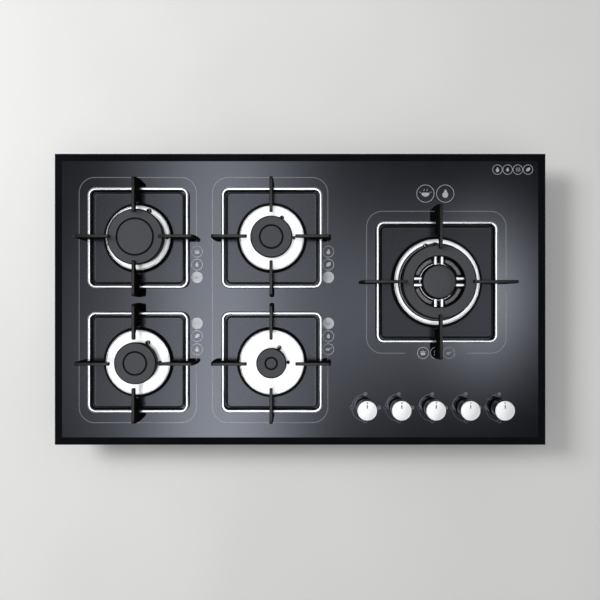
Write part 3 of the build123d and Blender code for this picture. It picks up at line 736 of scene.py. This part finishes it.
# plain pictures in a circle of radius 1: closed areas, then open lines
pictures = {
    "pot": ([[(-0.42, 0.08), (0.42, 0.08), (0.36, -0.38), (-0.36, -0.38)]],
            [[(-0.5, 0.2), (0.5, 0.2)], [(-0.12, 0.34), (0.12, 0.34)]]),
    "flame": ([[(0, 0.55), (0.2, 0.22), (0.34, -0.06), (0.28, -0.36), (0, -0.5), (-0.28, -0.36),
                (-0.34, -0.06), (-0.16, 0.14), (-0.1, 0.3)]], []),
    "pan": ([[(-0.5, 0.12), (0.24, 0.12), (0.14, -0.24), (-0.4, -0.24)]], [[(0.24, 0.1), (0.62, 0.26)]]),
    "steam": ([], [[(-0.3, -0.4), (-0.18, -0.1), (-0.34, 0.1), (-0.22, 0.42)],
                   [(0.02, -0.4), (0.14, -0.1), (-0.02, 0.1), (0.1, 0.42)],
                   [(0.34, -0.4), (0.46, -0.1), (0.3, 0.1), (0.42, 0.42)]]),
    "drop": ([[(0, 0.5), (0.26, 0.02), (0.24, -0.26), (0, -0.42), (-0.24, -0.26), (-0.26, 0.02)]], []),
    "wok": ([[(-0.52, 0.1), (0.52, 0.1), (0.36, -0.2), (0.12, -0.34), (-0.12, -0.34), (-0.36, -0.2)]],
            [[(-0.68, 0.2), (-0.5, 0.12)], [(0.5, 0.12), (0.68, 0.2)], [(-0.2, 0.3), (-0.1, 0.5)],
             [(0.14, 0.3), (0.24, 0.5)]]),
    "leaf": ([[(-0.4, -0.36), (-0.3, 0.16), (0.1, 0.42), (0.44, 0.4), (0.42, 0.0), (0.14, -0.3)]], []),
}
# groups of pictures: their places across and down and their radius, in pixels, and which is a filled disc
pictureGroups = [
    ((197.0,), (251.6, 264.6, 277.3), 5.7, "pot drop pan", 2),
    ((197.0,), (323.3, 336.1, 349.2), 5.7, "steam leaf flame", 0),
    ((328.3,), (251.6, 264.6, 277.3), 5.7, "flame leaf steam", 2),
    ((328.3,), (323.3, 336.1, 349.2), 5.7, "pot drop pan", 0),
    ((425.4, 445.2), (193.6,), 8.9, "wok flame", None),
    ((423.0, 436.0, 448.9), (352.9,), 5.9, "pot steam pan", None),
    ((497.4, 507.6, 517.8, 528.0), (169.6,), 5.0, "flame drop steam leaf", None),
]
# outlines: left, right, top and bottom in pixels, the gaps in them, and the strokes between the pictures
sideGroups = [(79.2, 196.5, 177.5, 422.6), (212.5, 327.8, 177.5, 422.6)]
sideGap = (245.4, 355.4)
ticks = (258.1, 270.9, 329.7, 342.6)
wokGroup = (366.6, 506.0, 211.3, 353.2)
wokGap = (404.8, 467.1)


def printedOutlines():
    lines = []
    c, width = ink["corner"], ink["line"]
    for left, right, top, bottom in sideGroups:
        (x0, y1), (x1, y0) = fromPhoto(left, top), fromPhoto(right, bottom)
        high, low = [fromPhoto(0, gap)[1] for gap in sideGap]
        path = [(x1, high), (x1, y1, c), (x0, y1, c), (x0, y0, c), (x1, y0, c), (x1, low)]
        lines.append(strip(rounded(path, 10, False), width))
        for tick in ticks:
            x, y = fromPhoto(right, tick)
            lines.append(strip([(x, y - ink["tick"]), (x, y + ink["tick"])], width))
    left, right, top, bottom = wokGroup
    (x0, y1), (x1, y0) = fromPhoto(left, top), fromPhoto(right, bottom)
    near, far = [fromPhoto(gap, 0)[0] for gap in wokGap]
    path = [(near, y0), (x0, y0, c), (x0, y1, c), (x1, y1, c), (x1, y0, c), (far, y0)]
    lines.append(strip(rounded(path, 10, False), width))
    piece("printed_outlines", joined(*lines), "line")


def printedPictures():
    signs, faded = [], []
    thin, corner = ink["thin"], ink["pictureCorner"]
    for across, down, size, names, filled in pictureGroups:
        places = [fromPhoto(px, py) for px in across for py in down]
        r = size / photo["pixelsPerMm"]
        for i, ((x, y), picture) in enumerate(zip(places, names.split())):
            areas, lines = pictures[picture]
            areas = [rounded([(a * r + x, b * r + y, r * corner) for a, b in area], 3) for area in areas]
            lines = [[(a * r + x, b * r + y) for a, b in line] for line in lines]
            lift = ink["overDisc"] if i == filled else 0.0
            drawn = [patch(area, lift) for area in areas] + [strip(line, thin, lift=lift) for line in lines]
            if i == filled:
                signs.append(patch(arcPoints(x, y, r)))
                faded += drawn
            else:
                signs += [circleLine(x, y, r, thin)] + drawn
    piece("printed_signs", joined(*signs), "sign")
    piece("printed_faded_pictures", joined(*faded), "faded")


def printedDials():
    # off at the top, two arcs round the left with a small circle after each, and a flame on the right
    dials, flames = [], []
    width, reach, dot, gap = ink["dialLine"], ink["dial"], ink["dialDot"], ink["dialGap"]
    for x, y in knobPlaces:
        dials.append(patch(arcPoints(x, y + reach, dot, 24)))
        for start in (90, 180):
            dials.append(strip(arcPoints(x, y, reach, 20, start + gap, 90 - 2 * gap), width))
            ex, ey = arcPoints(x, y, reach, 1, start + 90, 90)[0]
            dials.append(circleLine(ex, ey, dot, width, 24))
        flames.append(circleLine(x + reach, y, dot, width, 24))
        scale = ink["dialFlame"]
        flame = [(x + reach + a * scale, y + b * scale, 0.3) for a, b in pictures["flame"][0][0]]
        flames.append(patch(rounded(flame, 2), 0.02))
    piece("printed_dials", joined(*dials), "line")
    piece("printed_dial_flames", joined(*flames), "sign")


def makeMarks():
    printedOutlines()
    printedPictures()
    printedDials()
    print("printed marks made")


# fixings on the casing: slotted screws, the clamps' bolts, pressed ribs and the inlet's thread; head, washer,
# bolt, threadRoot and threadTop are radii, and wall is the casing's rear side
fit = dict(head=4.4, headHeight=1.8, slotWide=1.3, slotFloor=1.0, washer=6.0, washerHeight=0.6, bolt=4.6,
           boltHeight=4.2, boltWasher=1.0, boltUp=3, clampHalf=6.5, clampMiddle=13, wall=234.0,
           footFromBurner=72.0, railFoot=20.0, railRadius=7.0, sparkFoot=24, terminalFoot=10, ribWide=10.0,
           ribHeight=1.2, ribFromEnd=35.0, ribs=(-165.0, -40.0, 75.0), threadRoot=10.3, threadTop=11.3,
           threadPitch=1.81, threadCrest=0.12, threadSteps=24, inletFrom=236.0, inletHeight=-33.0)


def slottedScrew(x, y, face):
    # points down from the face: a washer, then two half-moons with the slot between them
    head, half = fit["head"], fit["slotWide"] / 2
    low, floor = face - fit["headHeight"], face - fit["slotFloor"]
    reach, edge = (head * head - half * half) ** 0.5, y + half
    bow = [point for point in arcPoints(x, y, head, 16, 0, 180) if point[1] > edge]
    moon = [(x + reach, edge), *bow, (x - reach, edge)]
    other = [(2 * x - a, 2 * y - b) for a, b in moon]
    return joined(prism(arcPoints(x, y, fit["washer"], 24), face - fit["washerHeight"], face + 0.05),
                  prism(arcPoints(x, y, head, 24), floor, face - 0.5),
                  prism(moon, low, floor + 0.1), prism(other, low, floor + 0.1))


def casingScrews(face):
    # straps, rail, spark generator and terminal are screwed to the casing's floor
    feet = []
    for first, last in (("rear_left", "rear_middle"), ("front_left", "front_middle"), ("wok", "wok")):
        (left, y), right = burners[first]["at"], burners[last]["at"][0]
        feet += [(left - fit["footFromBurner"], y), (right + fit["footFromBurner"], y)]
    low, high = boxOf("gas_rail")
    rail, foot = fit["railRadius"], fit["railFoot"]
    feet += [(low.x + foot, low.y + rail), (high.x - rail - foot, low.y + rail)]
    (x, y), foot = middleOf("spark_generator"), fit["sparkFoot"]
    feet += [(x - foot, y), (x + foot, y),
             (middleOf("mains_terminal")[0], boxOf("mains_terminal")[0].y + fit["terminalFoot"])]
    screws = piece("casing_screws", joined(*[slottedScrew(x, y, face) for x, y in feet]), "zinc")
    soften(screws, 0.25, 2, 50)


def clampBolts():
    # two bolts with a hexagonal head hold each clamp to the wall
    low, high = boxOf("hold_down_clamps")
    middle = (low.z + high.z) / 2 + fit["boltUp"]
    flat = fit["boltWasher"]
    washer = prism(arcPoints(0, 0, fit["washer"], 24), 0, flat)
    head = prism(arcPoints(0, 0, fit["bolt"], 6), flat - 0.1, fit["boltHeight"])
    bolt, bolts = joined(washer, head), []
    for turn in (0, 180):
        for clamp in (low.x + fit["clampMiddle"], high.x - fit["clampMiddle"]):
            for way in (-1, 1):
                place = (clamp + way * fit["clampHalf"], fit["wall"], middle)
                bolts.append(turned(laid(bolt, place), turn))
    soften(piece("clamp_bolts", joined(*bolts), "zinc"), 0.3, 2, 50)


def casingRibs(face):
    low, high = boxOf("bottom_casing")
    near, far, half = low.x + fit["ribFromEnd"], high.x - fit["ribFromEnd"], fit["ribWide"] / 2
    ribs = [prism(rounded([(near, y - half, half), (far, y - half, half), (far, y + half, half),
                           (near, y + half, half)], 8), face - fit["ribHeight"], face + 0.3)
            for y in fit["ribs"]]
    soften(piece("casing_ribs", joined(*ribs), "sheet"), 0.9, 3, 50)


def inletThread():
    # one ridge winds round the gas inlet
    end, steps, pitch = boxOf("gas_rail")[1], fit["threadSteps"], fit["threadPitch"]
    start, crest = fit["inletFrom"], fit["threadCrest"]
    count = int((end.y - start - 2 * pitch) / pitch * steps)
    root, top = fit["threadRoot"], fit["threadTop"]
    section = [(root, -pitch / 2), (top, -crest), (top, crest), (root, pitch / 2)]
    rows = []
    for i in range(count):
        angle, z = 2 * pi * i / steps, start + pitch + pitch * i / steps
        rows.append([(r * cos(angle), r * sin(angle), z + dz) for r, dz in section])
    verts, faces = between(rows, False)
    faces += [(0, 1, 2, 3), tuple(4 * count - k for k in (1, 2, 3, 4))]
    thread = laid((verts, faces), (end.x - fit["railRadius"], 0, fit["inletHeight"]))
    piece("gas_inlet_thread", thread, "brass")


def makeFixings():
    face = boxOf("bottom_casing")[0].z
    casingScrews(face)
    clampBolts()
    casingRibs(face)
    inletThread()
    print("fixings made")


# CAD nodes that keep their shape: finish, and width of the softened edges
kept = {
    "glass_plate": ("glass", 0.5), "worktop_seal": ("foam", 0.4), "bottom_casing": ("sheet", 0.3),
    "hold_down_clamps": ("zinc", 0.3), "gas_rail": ("zinc", 0.3), "burner_straps": ("sheet", 0.2),
    "injectors": ("brass", 0.3), "burner_pipes": ("zinc", 0.0), "gas_taps": ("cast", 0.6),
    "spark_generator": ("black", 0.6), "ignition_switches": ("black", 0.3), "mains_terminal": ("white", 0.4),
}
for i in range(1, 6):
    kept[f"tap_spindle_{i}"] = kept[f"tap_plug_{i}"] = ("brass", 0.0)


def dressNodes():
    for name, (finish, width) in kept.items():
        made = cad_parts[name]
        made.data.materials.clear()
        made.data.materials.append(materials[finish])
        if width:
            soften(made, width, 2, 50)
    print("CAD nodes dressed:", len(kept))


# fades are bounds on the upward part of a direction: pale walls below, dark room between, strips above
studio = dict(floorSize=8.0, lampPower=78.0, lampSize=(1.3, 1.1), lampAt=(-2.35, 1.05, 1.9), worldLevel=0.5,
              base=0.12, dark=0.06, pale=0.95, wallFade=(0.12, 0.35), ceilingFade=(0.855, 0.888))
# soft strips of light overhead, by slope from the vertical
glows = [
    dict(at=(-0.143, -0.5), size=(0.137, 1.037), strength=7.0),
    dict(at=(0.338, 0.006), size=(0.095, 0.132), strength=5.6),
    dict(at=(0.122, -0.015), size=(0.153, 0.189), strength=2.0),
    dict(at=(-0.355, -0.098), size=(0.148, 0.267), strength=1.05),
]


def makeStage():
    bottom, size = cadBox[0].z, studio["floorSize"] / 2
    corners = [(-size, -size, bottom), (size, -size, bottom), (size, size, bottom), (-size, size, bottom)]
    mesh = bpy.data.meshes.new("studio_floor")
    mesh.from_pydata(corners, [], [(0, 1, 2, 3)])
    mesh.materials.append(materials["floor"])
    floor = put("studio_floor", mesh, (0, 0, 0))
    lamp = bpy.data.lights.new("key_softbox", "AREA")
    lamp.shape, (lamp.size, lamp.size_y), lamp.energy = "RECTANGLE", studio["lampSize"], studio["lampPower"]
    key = put("key_softbox", lamp, studio["lampAt"])
    key.rotation_euler = (-key.location).to_track_quat("-Z", "Y").to_euler()
    key.visible_glossy = False  # shiny faces see the soft strips instead


def makeWorld():
    # matte faces get one soft level; shiny ones see a dark room with pale walls and strips overhead
    world = bpy.data.worlds.new("studio")
    bpy.context.scene.world = world
    world.use_nodes = True
    tree = world.node_tree
    tree.nodes.clear()
    way = node(tree, "TexCoord").outputs["Generated"]
    rise = node(tree, "SeparateXYZ", Vector=way).outputs["Z"]
    above = node(tree, "Math", {"operation": "MAXIMUM", "1": 0.05}, i0=rise)
    flatten = node(tree, "Math", {"operation": "DIVIDE", "0": 1.0}, i1=above.outputs[0])
    slope = node(tree, "VectorMath", {"operation": "SCALE"}, i0=way, Scale=flatten.outputs[0]).outputs[0]
    before = {}
    for glow in glows:
        at, size = (*glow["at"], 1), (*glow["size"], 1)
        off = node(tree, "VectorMath", {"operation": "SUBTRACT", "1": at}, i0=slope).outputs[0]
        off = node(tree, "VectorMath", {"operation": "DIVIDE", "1": size}, i0=off).outputs[0]
        far = node(tree, "VectorMath", {"operation": "DOT_PRODUCT"}, i0=off, i1=off).outputs["Value"]
        near = node(tree, "Math", {"operation": "MULTIPLY", "1": -1.0}, i0=far).outputs[0]
        shine = node(tree, "Math", {"operation": "EXPONENT"}, i0=near).outputs[0]
        add = {"operation": "MULTIPLY_ADD", "1": glow["strength"], "2": studio["base"]}
        room = node(tree, "Math", add, i0=shine, **before).outputs[0]
        before = {"i2": room}  # each glow is added to those before it
    for (low, high), below in ((studio["ceilingFade"], studio["dark"]), (studio["wallFade"], studio["pale"])):
        span = {"interpolation_type": "SMOOTHSTEP", "From Min": low, "From Max": high, "To Min": below}
        room = node(tree, "MapRange", span, Value=rise, To_Max=room).outputs["Result"]
    path = node(tree, "LightPath")
    level = node(tree, "Mix", {"data_type": "FLOAT", "2": studio["worldLevel"]},
                 i0=path.outputs["Is Glossy Ray"], i3=room)
    level = node(tree, "Mix", {"data_type": "FLOAT", "3": 1.0},
                 i0=path.outputs["Is Camera Ray"], i2=level.outputs[0])
    light = node(tree, "Background", {"Color": (1, 1, 1, 1)}, Strength=level.outputs[0])
    node(tree, "OutputWorld", Surface=light.outputs[0])
    bpy.context.scene.view_settings.view_transform = "Standard"
    print("studio made")


# the camera looks straight down at the middle of the plate
eye = dict(place=(-0.0002, -0.0012, 0.965), sensor=36.0, focalPixels=545.8, imagePixels=600)


def makeCamera():
    camera = put("camera", bpy.data.cameras.new("camera"), eye["place"])
    camera.data.sensor_width = eye["sensor"]
    camera.data.lens = eye["sensor"] * eye["focalPixels"] / eye["imagePixels"]
    bpy.context.scene.camera = camera
    print("camera made")


makeCamera()
makeSupports()
makeBurners()
makeKnobs()
makeMarks()
makeFixings()
dressNodes()
makeStage()
makeWorld()

bpy.context.view_layer.update()
